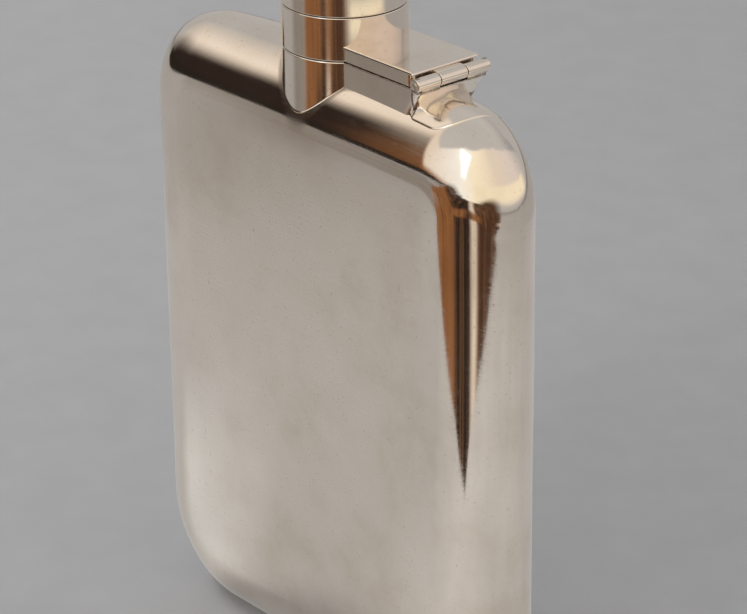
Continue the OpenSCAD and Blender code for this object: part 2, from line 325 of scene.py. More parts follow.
def round_profile(pts, segs=5):
    """pts: (r, z, radius) of a closed polygon, counter-clockwise seen with r right and z up.
    Returns a list of (r, z, nr, nz): exact points and outward normals; two entries at a sharp corner."""
    out = []
    n = len(pts)
    for i in range(n):
        p = np.array(pts[i][:2], float)
        a = np.array(pts[i - 1][:2], float)
        b = np.array(pts[(i + 1) % n][:2], float)
        d0 = (p - a) / np.hypot(*(p - a))
        d1 = (b - p) / np.hypot(*(b - p))
        n0 = np.array([d0[1], -d0[0]])
        n1 = np.array([d1[1], -d1[0]])
        rad = pts[i][2] if len(pts[i]) > 2 else 0.0
        if rad <= 0:
            if n0 @ n1 > 0.9999:
                out.append((*p, *n0))
            else:
                out.append((*p, *n0))
                out.append((*p, *n1))
            continue
        turn = math.atan2(d0[0] * d1[1] - d0[1] * d1[0], d0 @ d1)
        cut = rad * math.tan(abs(turn) / 2)
        s = 1.0 if turn > 0 else -1.0
        c = p - d0 * cut - n0 * rad * s
        for k in range(segs + 1):
            t = turn * k / segs
            nn = np.array([n0[0] * math.cos(t) - n0[1] * math.sin(t), n0[0] * math.sin(t) + n0[1] * math.cos(t)])
            q = c + nn * rad * s
            out.append((q[0], q[1], nn[0], nn[1]))
    return out


def lathe(name, body, profile, mat, n=180, axis="Z", at=(0, 0, 0), wobble=None, segs=5):
    """A closed solid of revolution with exact normals."""
    pr = round_profile(profile, segs)
    m = len(pr)
    verts, index, normals = [], {}, []
    faces, loops = [], []

    def place(i, j):
        r, z, nr, nz = pr[i]
        t = 2 * math.pi * j / n
        c, s = math.cos(t), math.sin(t)
        if wobble is not None and r > 0:
            r = r + wobble(t, z)
        p = (r * c, r * s, z)
        q = (nr * c, nr * s, nz)
        if axis == "Y":
            p, q = (p[0], -p[2], p[1]), (q[0], -q[2], q[1])
        return (p[0] + at[0], p[1] + at[1], p[2] + at[2]), q

    def vid(i, j):
        p, q = place(i, j % n)
        key = (round(p[0], 5), round(p[1], 5), round(p[2], 5))
        if key not in index:
            index[key] = len(verts)
            verts.append(p)
        return index[key], q

    for i in range(m):
        k = (i + 1) % m
        if abs(pr[i][0] - pr[k][0]) < 1e-7 and abs(pr[i][1] - pr[k][1]) < 1e-7:
            continue
        if pr[i][0] < 1e-7 and pr[k][0] < 1e-7:
            continue
        for j in range(n):
            ring = [vid(i, j), vid(i, j + 1), vid(k, j + 1), vid(k, j)]
            f, l = [], []
            for v, q in ring:
                if v in f:
                    continue
                f.append(v)
                l.append(q)
            if len(f) < 3:
                continue
            faces.append(f[::-1])
            loops.append(l[::-1])
    flat = [q for l in loops for q in l]
    ob = make(name, body, verts, faces, mat, loops=flat)
    return ob


# ------------------------------------------------------------------ the pillow body
W, H, CUT, RA, RT, RB, RX, KP = 93.97, 118.41, 1.73, 522.0, 16.66, 20.34, 12.39, 0.000995
HALF, DROP, XS, WALL = 11.60, 1.99, 34.6, 0.8


def half(x):
    return HALF - DROP * (x / XS) ** 2


def ztop(x):
    return H - CUT - RA + np.sqrt(RA * RA - x * x)


def zsurf(x, y):
    """Height of the shoulder at (x, y)."""
    s = np.minimum(np.abs(y + KP * x * x) / half(x), 0.9999)
    return ztop(x) - RX * (1 - np.sqrt(1 - s * s))


def ripple(P):
    """Gentle hand-worn unevenness of the sheet, outwards, in mm, in all three directions."""
    x, y, z = P[..., 0], P[..., 1], P[..., 2]
    e = 0.014 * np.sin(x / 7.3 + 1.1) * np.sin(z / 9.1 + 0.4) + 0.011 * np.sin(x / 4.4 - z / 6.7 + 2.0)
    e = e + 0.008 * np.sin(y / 3.1 + z / 11.0) + 0.006 * np.sin(z / 4.1 + x / 12.0 + 0.7)
    for cx, cz, rx_, rz_, dep, side in DENTS:
        g = np.exp(-(((x - cx) / rx_) ** 2) - ((z - cz) / rz_) ** 2)
        w = np.clip(0.5 + side * y / 6.0, 0, 1)
        e = e + dep * g * w
    return e


DENTS = [
    # centre x, centre z, radii, height (negative goes in), side (-1 front, +1 back)
    (12.0, 36.0, 7.0, 6.0, -0.10, -1), (12.0, 42.0, 6.0, 5.0, 0.05, -1), (-18.0, 70.0, 12.0, 10.0, -0.05, -1),
    (20.0, 82.0, 8.0, 7.0, -0.04, -1), (-28.0, 34.0, 9.0, 8.0, 0.05, -1), (-6.0, 22.0, 9.0, 5.0, 0.04, -1),
    (42.6, 106.5, 1.6, 2.3, -0.065, -1), (39.6, 108.6, 1.3, 2.6, 0.055, -1), (41.2, 103.4, 1.4, 1.9, 0.058, -1),
    (44.6, 103.2, 1.5, 2.4, -0.070, -1), (38.2, 104.6, 1.4, 1.6, -0.048, -1), (45.6, 99.4, 1.3, 1.7, 0.045, -1),
    (14.0, 58.0, 10.0, 9.0, -0.08, 1), (-16.0, 38.0, 9.0, 11.0, -0.07, 1), (-22.0, 86.0, 7.0, 7.0, 0.05, 1),
]


def grad(fn, P, h=0.02):
    return np.stack([(fn(P + d) - fn(P - d)) / (2 * h) for d in np.eye(3) * h], -1)


def inset(X, Z):
    X = np.abs(X)
    cx = W / 2 - RT
    dd = RA - RT
    zc = H - RA + math.sqrt(dd * dd - cx * cx)
    phi = math.asin(cx / dd)
    bx = W / 2 - RB
    d = np.minimum(np.minimum(RA - np.hypot(X, Z - (H - RA)), W / 2 - X), Z)
    top = (X > cx) & (Z > zc) & (np.arctan2(X - cx, Z - zc) >= phi)
    low = (Z < RB) & (X > bx)
    return np.where(top, RT - np.hypot(X - cx, Z - zc), np.where(low, RB - np.hypot(X - bx, Z - RB), d))


def skin_normal(P, side):
    """Exact outward normal of the body's surface, then turned by the ripples."""
    x, y, z = P[:, 0], P[:, 1], P[:, 2]
    h = half(x)
    dh = -2 * DROP * x / XS ** 2
    yy = y + KP * x * x
    e = 1e-3
    d = inset(x, z + CUT)
    dx = (inset(x + e, z + CUT) - inset(x - e, z + CUT)) / (2 * e)
    dz = (inset(x, z + CUT + e) - inset(x, z + CUT - e)) / (2 * e)
    m = np.clip((RX - d) / RX, 0, 1.0)
    n = np.stack([
        2 * yy / h ** 2 * (2 * KP * x) - 2 * yy ** 2 / h ** 3 * dh - 2 * m / RX * dx,
        2 * yy / h ** 2,
        -2 * m / RX * dz], -1)
    n /= np.linalg.norm(n, axis=1)[:, None]
    g = grad(ripple, P)
    g -= (g * n).sum(1)[:, None] * n
    n = n - g
    return n / np.linalg.norm(n, axis=1)[:, None]


def outline_points():
    """Inner outline points and outward directions, right half from the top centre to the bottom centre."""
    cx = W / 2 - RT
    dd = RA - RT
    zc = H - RA + math.sqrt(dd * dd - cx * cx)
    phi = math.asin(cx / dd)
    pts = []
    for t in np.linspace(0, phi, 56)[:-1]:
        pts.append((0, H - RA, RA - RX, t))
    for t in np.linspace(phi, math.pi / 2, 44)[:-1]:
        pts.append((cx, zc, RT - RX, t))
    out = [(c + r * math.sin(t), k + r * math.cos(t), math.sin(t), math.cos(t)) for c, k, r, t in pts]
    for z in np.linspace(zc, RB, 56)[:-1]:
        out.append((W / 2 - RX, z, 1.0, 0.0))
    for t in np.linspace(math.pi / 2, math.pi, 44)[:-1]:
        out.append((W / 2 - RB + (RB - RX) * math.sin(t), RB + (RB - RX) * math.cos(t), math.sin(t), math.cos(t)))
    for x in np.linspace(W / 2 - RB, 0, 24):
        out.append((x, RX, 0.0, -1.0))
    return out


def body_skin(name, side, node):
    right = outline_points()
    left = [(-x, z, -nx, nz) for x, z, nx, nz in right[1:-1]][::-1]
    o = np.array(right + left)
    S = len(o)
    rows = []          # each row: (x, z before the cut, yy)
    NB, NI = 30, 22
    for k in range(NB + 1):
        psi = math.pi / 2 * (1 - k / NB)
        x = o[:, 0] + o[:, 2] * RX * math.sin(psi)
        z = o[:, 1] + o[:, 3] * RX * math.sin(psi)
        rows.append((x, z, half(x) * math.cos(psi) if k else 0 * x))
    c = np.array([0.0, 58.5])
    for k in range(1, NI):
        t = 1 - k / NI
        x = c[0] + (o[:, 0] - c[0]) * t
        z = c[1] + (o[:, 1] - c[1]) * t
        rows.append((x, z, half(x)))
    V = [np.stack([x, side * yy - KP * x * x, z - CUT], -1) for x, z, yy in rows]
    V = np.concatenate(V + [np.array([[0.0, side * HALF, c[1] - CUT]])])
    F = []
    R = len(rows)
    for k in range(R - 1):
        for j in range(S):
            a, b = k * S + j, k * S + (j + 1) % S
            F.append((a, b, b + S, a + S))
    last = R * S
    for j in range(S):
        F.append(((R - 1) * S + j, (R - 1) * S + (j + 1) % S, last))
    bm = bmesh.new()
    vs = [bm.verts.new(p) for p in V]
    for f in F:
        bm.faces.new([vs[i] for i in f])
    geom = bm.verts[:] + bm.edges[:] + bm.faces[:]
    bmesh.ops.bisect_plane(bm, geom=geom, dist=1e-5, plane_co=(0, 0, 0), plane_no=(0, 0, 1), clear_inner=True)
    # way through for the neck
    gone = [f for f in bm.faces if all(v.co.z > 95 and math.hypot(v.co.x, v.co.y) < 9.4 for v in f.verts)]
    bmesh.ops.delete(bm, geom=gone, context="FACES")
    loose = [v for v in bm.verts if not v.link_faces]
    bmesh.ops.delete(bm, geom=loose, context="VERTS")
    bm.verts.index_update()
    P = np.array([v.co for v in bm.verts])
    faces = [[v.index for v in f.verts] for f in bm.faces]
    edges = [[(l.vert.index, l.link_loop_next.vert.index) for l in e.link_loops][0]
             for e in bm.edges if len(e.link_loops) == 1]
    bm.free()
    foot = P[:, 2] < 1e-4
    nrm = skin_normal(P, side)
    # a face has to look outwards
    a = P[faces[0]]
    if np.dot(np.cross(a[1] - a[0], a[2] - a[0]), nrm[faces[0][0]]) < 0:
        faces = [f[::-1] for f in faces]
        edges = [(j, i) for i, j in edges]
    out = P + nrm * ripple(P)[:, None]
    out[foot, 2] = 0
    rim = np.abs(P[:, 1] + KP * P[:, 0] ** 2) < 1e-5
    inner = out - nrm * WALL
    inner[foot, 2] = 0
    inner[rim, 1] = out[rim, 1]
    n = len(P)
    verts = np.concatenate([out, inner])
    allf, loops = [], []
    for f in faces:
        allf.append(f)
        loops += [nrm[i] for i in f]
    for f in faces:
        allf.append([i + n for i in f[::-1]])
        loops += [-nrm[i] for i in f[::-1]]
    for i, j in edges:
        q = [j, i, i + n, j + n]
        a = verts[q]
        fn = np.cross(a[1] - a[0], a[2] - a[0])
        if np.linalg.norm(fn) < 1e-9:
            fn = np.array([0, 0, -1.0])
        fn = fn / np.linalg.norm(fn)
        allf.append(q)
        loops += [fn] * 4
    # 1 near the rounded edges, 0 on the flat faces
    d = inset(P[:, 0], P[:, 2] + CUT)
    e = np.clip((RX + 5.0 - d) / 5.0, 0, 1)
    e = e * e * (3 - 2 * e)
    ob = make(name, "flask", verts, allf, M_BODY, loops=loops, edge=np.concatenate([e, e]))
    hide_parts(node)
    return ob


body_skin("skin_front", -1, "front_shell")
body_skin("skin_back", 1, "back_shell")


def foot_plate():
    """Flat strip that closes the underside."""
    xs = []
    xm = W / 2 - RB + math.sqrt(RB ** 2 - (RB - CUT) ** 2) - 1.0
    for x in np.linspace(-xm, xm, 121):
        xs.append(x)
    top, low = [], []
    for x in xs:
        d = inset(np.array([x]), np.array([CUT]))[0]
        m = min(max((RX - d) / RX, 0), 1)
        yy = max(half(x) * math.sqrt(max(1 - m * m, 0)) - 0.47, 0.02)
        low.append((x, -yy - KP * x * x))
        top.append((x, yy - KP * x * x))
    ring = low + top[::-1]
    n = len(ring)
    c = np.array(ring).mean(0)
    verts = []
    for z, s in ((0.10, 1.0), (0.0, 0.9965), (0.0, 0.5), (1.0, 0.5), (1.0, 1.0)):
        for x, y in ring:
            verts.append((c[0] + (x - c[0]) * s, (y * s if s != 1.0 else y), z))
    faces = []
    order = [4, 0, 1, 2]
    for a, b in zip(order, order[1:]):
        for j in range(n):
            k = (j + 1) % n
            faces.append((a * n + j, a * n + k, b * n + k, b * n + j)[::-1])
    faces.append([2 * n + j for j in range(n)][::-1])
    for a, b in ((3, 4),):
        for j in range(n):
            k = (j + 1) % n
            faces.append((a * n + j, a * n + k, b * n + k, b * n + j)[::-1])
    faces.append([3 * n + j for j in range(n)])
    ob = make("foot_plate", "flask", verts, faces, M_FOOT, sharp=25)
    bm = bmesh.new()
    bm.from_mesh(ob.data)
    bmesh.ops.recalc_face_normals(bm, faces=bm.faces)
    bm.to_mesh(ob.data)
    bm.free()
    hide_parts("base_plate")


foot_plate()

# ------------------------------------------------------------------ collar, ring and cap
R_CAP = 11.0
Z_COL, Z_SEAM, Z_RING, Z_CAP0 = 118.25, 118.40, 126.00, 126.15
Z_SHELL, Z_TOP = 137.15, 139.65


def wear(amp, seed):
    """Slight out-of-roundness of thin worn sheet."""
    def f(t, z):
        return -amp * (0.5 + 0.5 * math.sin(2 * t + seed) * math.cos(z / 5.0 + seed)) - amp * 0.4 * (0.5 + 0.5 * math.sin(5 * t + z / 3.0 + seed))
    return f


def collar():
    n = 240
    levels = []
    verts, faces, loops = [], [], []
    rows = 30
    grid = []
    for j in range(n):
        t = 2 * math.pi * j / n
        c, s = math.cos(t), math.sin(t)

        def zs(r):
            return float(zsurf(np.array(r * c), np.array(r * s)))
        col = []
        zb = zs(R_CAP)
        col.append((8.05, zs(9.0) - 0.75, 0, -1))
        col.append((R_CAP - 0.3, zs(R_CAP - 0.3) - 0.75, 0, -1))
        for k in range(5):           # small solder fillet at the foot
            a = math.pi / 2 * k / 4
            col.append((R_CAP + 0.08 * (1 - math.sin(a)), zb - 0.25 + 0.55 * (1 - math.cos(a)), math.sin(a) * .6 + .4, 0.5 * math.cos(a)))
        for k in range(1, 12):
            z = zb + 0.3 + (Z_COL - 0.22 - zb - 0.3) * k / 11
            col.append((R_CAP, z, 1, 0))
        for k in range(1, 6):
            a = math.pi / 2 * k / 5
            col.append((R_CAP - 0.22 + 0.22 * math.cos(a), Z_COL - 0.22 + 0.22 * math.sin(a), math.cos(a), math.sin(a)))
        col.append((8.05, Z_COL, 0, 1))
        grid.append([(r * c, r * s, z, nr * c, nr * s, nz) for r, z, nr, nz in col])
    m = len(grid[0])
    for col in grid:
        verts += [p[:3] for p in col]
    for j in range(n):
        k = (j + 1) % n
        for i in range(m):
            i2 = (i + 1) % m
            f = (j * m + i, k * m + i, k * m + i2, j * m + i2)
            faces.append(f)
            for jj, ii in ((j, i), (k, i), (k, i2), (j, i2)):
                p = grid[jj][ii]
                v = np.array(p[3:])
                if i in (0, m - 1):       # bottom ring and bore stay flat-shaded
                    v = np.array([0, 0, -1.0]) if i == 0 else -np.array([p[0], p[1], 0])
                loops.append(v / np.linalg.norm(v))
    ob = make("collar", "flask", verts, faces, M_CAP, loops=loops)
    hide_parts("neck_collar")


collar()

ob = lathe("ring", "hinge_leaf", [
    (10.50, Z_SEAM, 0.05), (R_CAP, Z_SEAM, 0.20), (R_CAP, Z_RING, 0.18), (9.9, Z_RING, 0.08),
    (9.9, Z_SEAM + 1.2, 0), (10.50, Z_SEAM + 1.2, 0)], M_CAP, n=240, wobble=None)
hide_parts("hinge_ring")

ob = lathe("cap_wall", "cap", [
    (10.2, Z_CAP0, 0.08), (R_CAP, Z_CAP0, 0.18), (R_CAP, Z_CAP0 + 3.6, 0), (R_CAP, Z_SHELL - 3.0, 0), (R_CAP, Z_SHELL, 0),
    (10.2, Z_SHELL, 0)], M_CAP, n=240)
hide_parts("cap_shell")


def cap_lid():
    r1 = 9.4
    dome = 0.9
    rad = (r1 * r1 + dome * dome) / (2 * dome)
    pts = [(8.6, Z_SHELL), (R_CAP, Z_SHELL, 0)]
    pr = []
    pr.append((8.6, Z_SHELL, 0, -1))
    pr.append((R_CAP, Z_SHELL, 0, -1))
    a_end = math.asin(r1 / rad)
    # rolled edge from vertical to the start of the dome
    for k in range(15):
        t = k / 14
        a = t * (math.pi / 2 - a_end)
        pr.append((9.4 + 1.6 * math.cos(a), Z_SHELL + 1.6 * math.sin(a), math.cos(a), math.sin(a)))
    z_end = pr[-1][1]
    r_end = pr[-1][0]
    rr = r_end / math.sin(a_end)
    zc = z_end - rr * math.cos(a_end)
    top = zc + rr
    for k in range(1, 25):
        a = a_end * (1 - k / 24)
        pr.append((rr * math.sin(a), zc + rr * math.cos(a), math.sin(a), math.cos(a)))
    pr.append((0.0, Z_SHELL + 0.8, 0, -1))
    pr.append((8.6, Z_SHELL + 0.8, 0, -1))
    pr.append((8.6, Z_SHELL + 0.8, -1, 0))
    pr.append((8.6, Z_SHELL, -1, 0))
    n = 240
    verts, faces, loops, index = [], [], [], {}

    def vid(i, j):
        r, z, nr, nz = pr[i % len(pr)]
        t = 2 * math.pi * (j % n) / n
        p = (r * math.cos(t), r * math.sin(t), z)
        q = (nr * math.cos(t), nr * math.sin(t), nz)
        key = tuple(round(v, 5) for v in p)
        if key not in index:
            index[key] = len(verts)
            verts.append(p)
        return index[key], q
    m = len(pr)
    for i in range(m):
        a, b = pr[i], pr[(i + 1) % m]
        if abs(a[0] - b[0]) < 1e-7 and abs(a[1] - b[1]) < 1e-7:
            continue
        if a[0] < 1e-7 and b[0] < 1e-7:
            continue
        for j in range(n):
            f, l = [], []
            for v, q in (vid(i, j), vid(i, j + 1), vid(i + 1, j + 1), vid(i + 1, j)):
                if v not in f:
                    f.append(v)
                    l.append(q)
            if len(f) > 2:
                faces.append(f)
                loops += l
    ob = make("cap_lid", "cap", verts, faces, M_CAP, loops=loops)
    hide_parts("cap_top")
    return top


lid_top = cap_lid()

# ------------------------------------------------------------------ hinge
HX, HZ, BR = 27.0, 119.3, 1.2


def join(name, parts):
    ctx = bpy.context
    for o in ctx.selected_objects:
        o.select_set(False)
    for o in parts:
        o.select_set(True)
    ctx.view_layer.objects.active = parts[0]
    bpy.ops.object.join()
    parts[0].name = name
    parts[0].data.name = name
    return parts[0]


def tongue(name, body, yh, x_end, z_of, levels, rho, mat, na=24, nm=24, sharp=38, n_c=10):
    """A tongue that grows out of the round part. levels: (t, inset) from bottom to top,
    x_end(t, y) is the end, z_of(x, y, t) the height."""
    verts, faces = [], []
    count = None
    for t, ins in levels:
        Y = yh - ins
        Xf, Xb = x_end(t, -Y) - ins, x_end(t, Y) - ins
        pts = []
        r_in = 10.5
        x_in = math.sqrt(r_in ** 2 - Y ** 2)
        for k in range(nm):
            pts.append((x_in + (Xf - rho - x_in) * k / nm, -Y))
        for k in range(n_c + 1):
            a = -math.pi / 2 + math.pi / 2 * k / n_c
            y = -(Y - rho) + rho * math.sin(a)
            pts.append((Xf - rho + rho * math.cos(a) + (x_end(t, y) - ins - Xf) * math.sin(a / 2 + math.pi / 4), y))
        for k in range(1, na):
            y = -(Y - rho) + 2 * (Y - rho) * k / na
            pts.append((x_end(t, y) - ins, y))
        for k in range(n_c + 1):
            a = math.pi / 2 * k / n_c
            y = (Y - rho) + rho * math.sin(a)
            pts.append((Xb - rho + rho * math.cos(a) + (x_end(t, y) - ins - Xb) * math.cos(a / 2 + math.pi / 4) * 1.4142, y))
        for k in range(nm - 1, -1, -1):
            pts.append((x_in + (Xb - rho - x_in) * k / nm, Y))
        for k in range(1, na):
            y = Y - 2 * Y * k / na
            pts.append((math.sqrt(r_in ** 2 - y ** 2), y))
        count = len(pts)
        for x, y in pts:
            verts.append((x, y, z_of(x, y, t)))
    L = len(levels)
    for i in range(L - 1):
        for j in range(count):
            k = (j + 1) % count
            faces.append((i * count + j, i * count + k, (i + 1) * count + k, (i + 1) * count + j))
    faces.append([j for j in range(count)][::-1])
    faces.append([(L - 1) * count + j for j in range(count)])
    ob = make(name, body, verts, faces, mat, sharp=sharp)
    return ob


def z_shoulder(x, y):
    """Shoulder height that also follows the rounded upper corner."""
    x, y = float(x), float(y)
    lo_, hi_ = 90.0, 117.2
    for _ in range(26):
        m = (lo_ + hi_) / 2
        d = float(inset(np.array([x]), np.array([m + CUT]))[0])
        mm = min(max((RX - d) / RX, -1), 3)
        f = ((y + KP * x * x) / half(x)) ** 2 + (mm * mm if mm > 0 else 0) - 1
        if f < 0:
            lo_ = m
        else:
            hi_ = m
    return (lo_ + hi_) / 2


def cove_x(z):
    """The end of the mount sweeps in under the barrel and down to the shoulder."""
    s = min(max((z - 113.3) / 4.6, 0.0), 1.0)
    return 25.3 + 2.35 * s ** 1.3


def block():
    def top(x):
        d = abs(x - HX)
        return min(Z_COL, HZ - math.sqrt(1.4 ** 2 - d * d)) if d < 1.4 else Z_COL

    def foot_x(y):
        """Where the end face meets the shoulder."""
        x = 26.0
        for _ in range(6):
            x = cove_x(float(zsurf(np.array(x), np.array(y))))
        return x

    def z_of(x, y, z):
        """Level layers that stop just under the shoulder; the top ones sink under the barrel."""
        z = z - (Z_COL - top(x)) * min(max((z - 116.4) / 1.85, 0), 1)
        low_ = float(zsurf(np.array(x), np.array(y))) - 0.5
        return z if z > low_ else low_ - 0.02 * (low_ - z)
    lv = [(z, 0.0) for z in np.linspace(111.9, 118.05, 27)]
    lv += [(118.12, 0.01), (118.18, 0.04), (118.225, 0.09), (Z_COL, 0.16)]
    base = tongue("mount_a", "flask", 7.3, lambda z, y: cove_x(z), z_of, lv, 1.35, M_HINGE)

    # rounded foot that lies on the shoulder and sweeps up into the cove
    NY, NXX = 64, 44
    P = np.zeros((NY + 1, NXX + 1, 3))
    B = np.zeros((NY + 1, NXX + 1, 3))
    for j in range(NY + 1):
        v = math.sin(math.pi / 2 * (2 * j / NY - 1))
        xf = 30.0 + 6.0 * math.sqrt(max(1 - v * v, 0))
        if abs(v) > 0.9999:
            xf = 30.0
        xb = foot_x(7.2 * v)
        for i in range(NXX + 1):
            s = i / NXX
            x = 23.4 + (xf - 23.4) * (s ** 0.85)
            w = 7.15 + 0.40 * min(max((x - 24.9) / 1.0, 0), 1)
            y = w * v
            zs = z_shoulder(x, y)
            edge = min(xf - x, (w - abs(y)) * 1.2)
            full = 0.06 + 0.13 * min(max((1.0 - y) / 2.5, 0), 1)
            thick = full * math.sqrt(max(1 - (1 - min(edge / 0.25, 1)) ** 2, 0))
            side = min(max((7.25 - abs(y)) / 1.6, 0), 1)
            fil = 0.95 * math.exp(-max(x - xb + 0.1, 0) / 1.1) * side * side * (3 - 2 * side)
            P[j, i] = (x, y, zs + thick + fil)
            B[j, i] = (x, y, zs - 0.35)
    n = (NY + 1) * (NXX + 1)
    verts = np.concatenate([P.reshape(-1, 3), B.reshape(-1, 3)])
    faces = []
    w = NXX + 1
    for j in range(NY):
        for i in range(NXX):
            a = j * w + i
            faces.append((a, a + 1, a + w + 1, a + w))
            faces.append((a + n, a + w + n, a + w + 1 + n, a + 1 + n))
    for j in range(NY):
        a, b = j * w, (j + 1) * w
        faces.append((a, b, b + n, a + n))
        a, b = j * w + NXX, (j + 1) * w + NXX
        faces.append((a, a + n, b + n, b))
    for i in range(NXX):
        a = i
        faces.append((a, a + n, a + 1 + n, a + 1))
        a = NY * w + i
        faces.append((a, a + 1, a + 1 + n, a + n))
    foot = make("mount_b", "flask", verts, faces, M_HINGE, sharp=60)
    ob = join("hinge_mount", [base, foot])
    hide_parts("hinge_block")


block()


def slab(name, node, yh, xe, z0, z1, bev, rho, mat, low=None):
    low = low or bev
    st = []
    for k in range(5):
        a = math.pi / 2 * k / 4
        st.append((z0 + low - low * math.cos(a), low * (1 - math.sin(a))))
    for k in range(5):
        a = math.pi / 2 * k / 4
        st.append((z1 - bev + bev * math.sin(a), bev * (1 - math.cos(a))))
    lv = [((z - z0) / (z1 - z0), i) for z, i in st]
    ob = tongue(name, "hinge_leaf", yh, lambda t, y: xe, lambda x, y, t: z0 + (z1 - z0) * t, lv, rho, mat, sharp=50)
    w = ob.modifiers.new("wn", "WEIGHTED_NORMAL")
    w.keep_sharp = True
    w.weight = 80
    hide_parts(node)
    return ob


slab("leaf", "leaf_body", 7.18, 25.55, Z_SEAM, 120.58, 0.10, 1.35, M_HINGE)
slab("leaf_top", "leaf_plate", 7.40, 25.90, 120.60, 121.10, 0.38, 0.32, M_HINGE, low=0.09)


def barrel(name, body, y0, y1, bore, extra, mat):
    """A knuckle along Y with rounded ends; the lathe's z becomes -y."""
    ob = lathe(name, body, [(bore, -y1, 0.04), (BR, -y1, 0.16), (BR, -y0, 0.16), (bore, -y0, 0.04)], mat, n=72, axis="Y",
               at=(HX, 0, HZ), segs=4)
    return ob


def box_mesh(x0, x1, y0, y1, z0, z1):
    v = [(x, y, z) for z in (z0, z1) for y in (y0, y1) for x in (x0, x1)]
    f = [(0, 2, 3, 1), (4, 5, 7, 6), (0, 1, 5, 4), (2, 6, 7, 3), (0, 4, 6, 2), (1, 3, 7, 5)]
    return v, f


def bevelled(name, body, box, mat, width=0.12, segs=3):
    v, f = box_mesh(*box)
    ob = make(name, body, v, f, mat)
    bm = bmesh.new()
    bm.from_mesh(ob.data)
    bmesh.ops.bevel(bm, geom=bm.edges[:], offset=width * MM, segments=segs, profile=0.5, affect="EDGES")
    bm.to_mesh(ob.data)
    bm.free()
    ob.data.shade_smooth()
    ob.data.set_sharp_from_angle(angle=math.radians(40))
    return ob


parts = [barrel("k1", "flask", -8.0, -3.05, 0.6, 0, M_HINGE), barrel("k2", "flask", 3.05, 8.0, 0.6, 0, M_HINGE)]
parts.append(bevelled("k3", "flask", (26.15, 27.85, -7.25, -3.05, 117.7, 119.0), M_HINGE))
parts.append(bevelled("k4", "flask", (26.15, 27.85, 3.05, 7.25, 117.7, 119.0), M_HINGE))
ob = join("knuckles_lower", parts)
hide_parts("lower_knuckles")

parts = [barrel("m1", "hinge_leaf", -2.9, 2.9, 0.65, 0, M_HINGE),
         bevelled("m2", "hinge_leaf", (25.3, 27.0, -2.88, 2.88, 119.0, 120.60), M_HINGE)]
ob = join("knuckle_middle", parts)
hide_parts("middle_knuckle")

ob = lathe("pin", "flask", [(0, -8.10), (0.45, -8.10, 0.10), (0.595, -7.95, 0.05), (0.595, 7.95, 0.05), (0.45, 8.10, 0.10), (0, 8.10)],
           M_PIN, n=40, axis="Y", at=(HX, 0, HZ))
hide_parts("hinge_pin")

# ------------------------------------------------------------------ CAD nodes that stay
for node, mat in (("neck_tube", M_BRIGHT), ("neck_saddle", M_INNER), ("bayonet_lugs", M_BRIGHT),
                  ("bayonet_sleeve", M_BRIGHT), ("retaining_ring", M_INNER), ("cork_disc", M_CORK),
                  ("cork_plate", M_BRIGHT), ("cork_rivet", M_BRIGHT)):
    o = frame["nodes"][node]
    for s in o.material_slots:
        s.material = mat
    if not o.material_slots:
        o.data.materials.append(mat)

# ------------------------------------------------------------------ stage
def plain(name, colour, rough):
    k = Mat(name)
    n = k.noise(90.0, 5.0, 0.6)
    n2 = k.noise(900.0, 2.0, 0.6)
    c0 = tuple(v * 0.975 for v in colour)
    c1 = tuple(min(v * 1.02, 1) for v in colour)
    col = k.ramp(n, [(0.35, c0), (0.65, c1)])
    k.principled(Base_Color=col, Roughness=k.range(n, 0.3, 0.7, rough, rough + 0.08), Normal=k.bump(n2, 0.15, 0.0002))
    return k.m


def sheet_mesh(name, pts, mat, z):
    me = bpy.data.meshes.new(name)
    me.from_pydata([(x * MM, y * MM, z * MM) for x, y in pts], [], [tuple(range(len(pts)))])
    me.materials.append(mat)
    ob = bpy.data.objects.new(name, me)
    scene.collection.objects.link(ob)
    return ob


floor = sheet_mesh("floor", [(-2500, -2500), (2500, -2500), (2500, 2500), (-2500, 2500)],
                   plain("floor_paper", (0.328, 0.337, 0.362), 0.7), -0.02)


floor_far = sheet_mesh("floor_far", [(-12000, -12000), (12000, -12000), (12000, 12000), (-12000, 12000)],
                       bpy.data.materials["floor_paper"], -0.5)
floor_far.visible_glossy = False


def card_only(ob):
    """A studio card that only shows in the metal's reflections."""
    ob.visible_camera = False
    ob.visible_diffuse = False
    ob.visible_shadow = False
    ob.visible_transmission = False
    ob.visible_volume_scatter = False


def tone(r, g, b):
    """Radiance of a card that the silver shows as this screen colour."""
    lin = [((c / 255 + 0.055) / 1.055) ** 2.4 if c > 10 else c / 255 / 12.92 for c in (r, g, b)]
    return tuple(v / t for v, t in zip(lin, (0.91, 0.825, 0.74)))


def emission(k, col, alpha=None):
    e = k.n("Emission")
    k.link(col, e.inputs[0])
    e.inputs[1].default_value = 1.0
    if alpha is None:
        k.link(e.outputs[0], k.out.inputs["Surface"])
        return
    m = k.n("MixShader")
    k.link(alpha, m.inputs[0])
    k.link(k.n("BsdfTransparent").outputs[0], m.inputs[1])
    k.link(e.outputs[0], m.inputs[2])
    k.link(m.outputs[0], k.out.inputs["Surface"])


def polar(k, cx, cy):
    """Azimuth in degrees from -Y towards +X and distance in metres from a point on the floor."""
    s = k.n("SeparateXYZ")
    k.link(k.co, s.inputs[0])
    x = k.math("SUBTRACT", s.outputs[0], cx)
    y = k.math("SUBTRACT", s.outputs[1], cy)
    az = k.math("MULTIPLY", k.math("ARCTAN2", x, k.math("MULTIPLY", y, -1.0)), 180 / math.pi)
    r = k.math("SQRT", k.math("ADD", k.math("MULTIPLY", x, x), k.math("MULTIPLY", y, y)))
    return az, r


def by_angle(k, az, stops, lo_=-180.0, hi_=180.0):
    fac = k.range(az, lo_, hi_, 0.0, 1.0)
    return k.ramp(fac, [((a - lo_) / (hi_ - lo_), c) for a, c in stops])


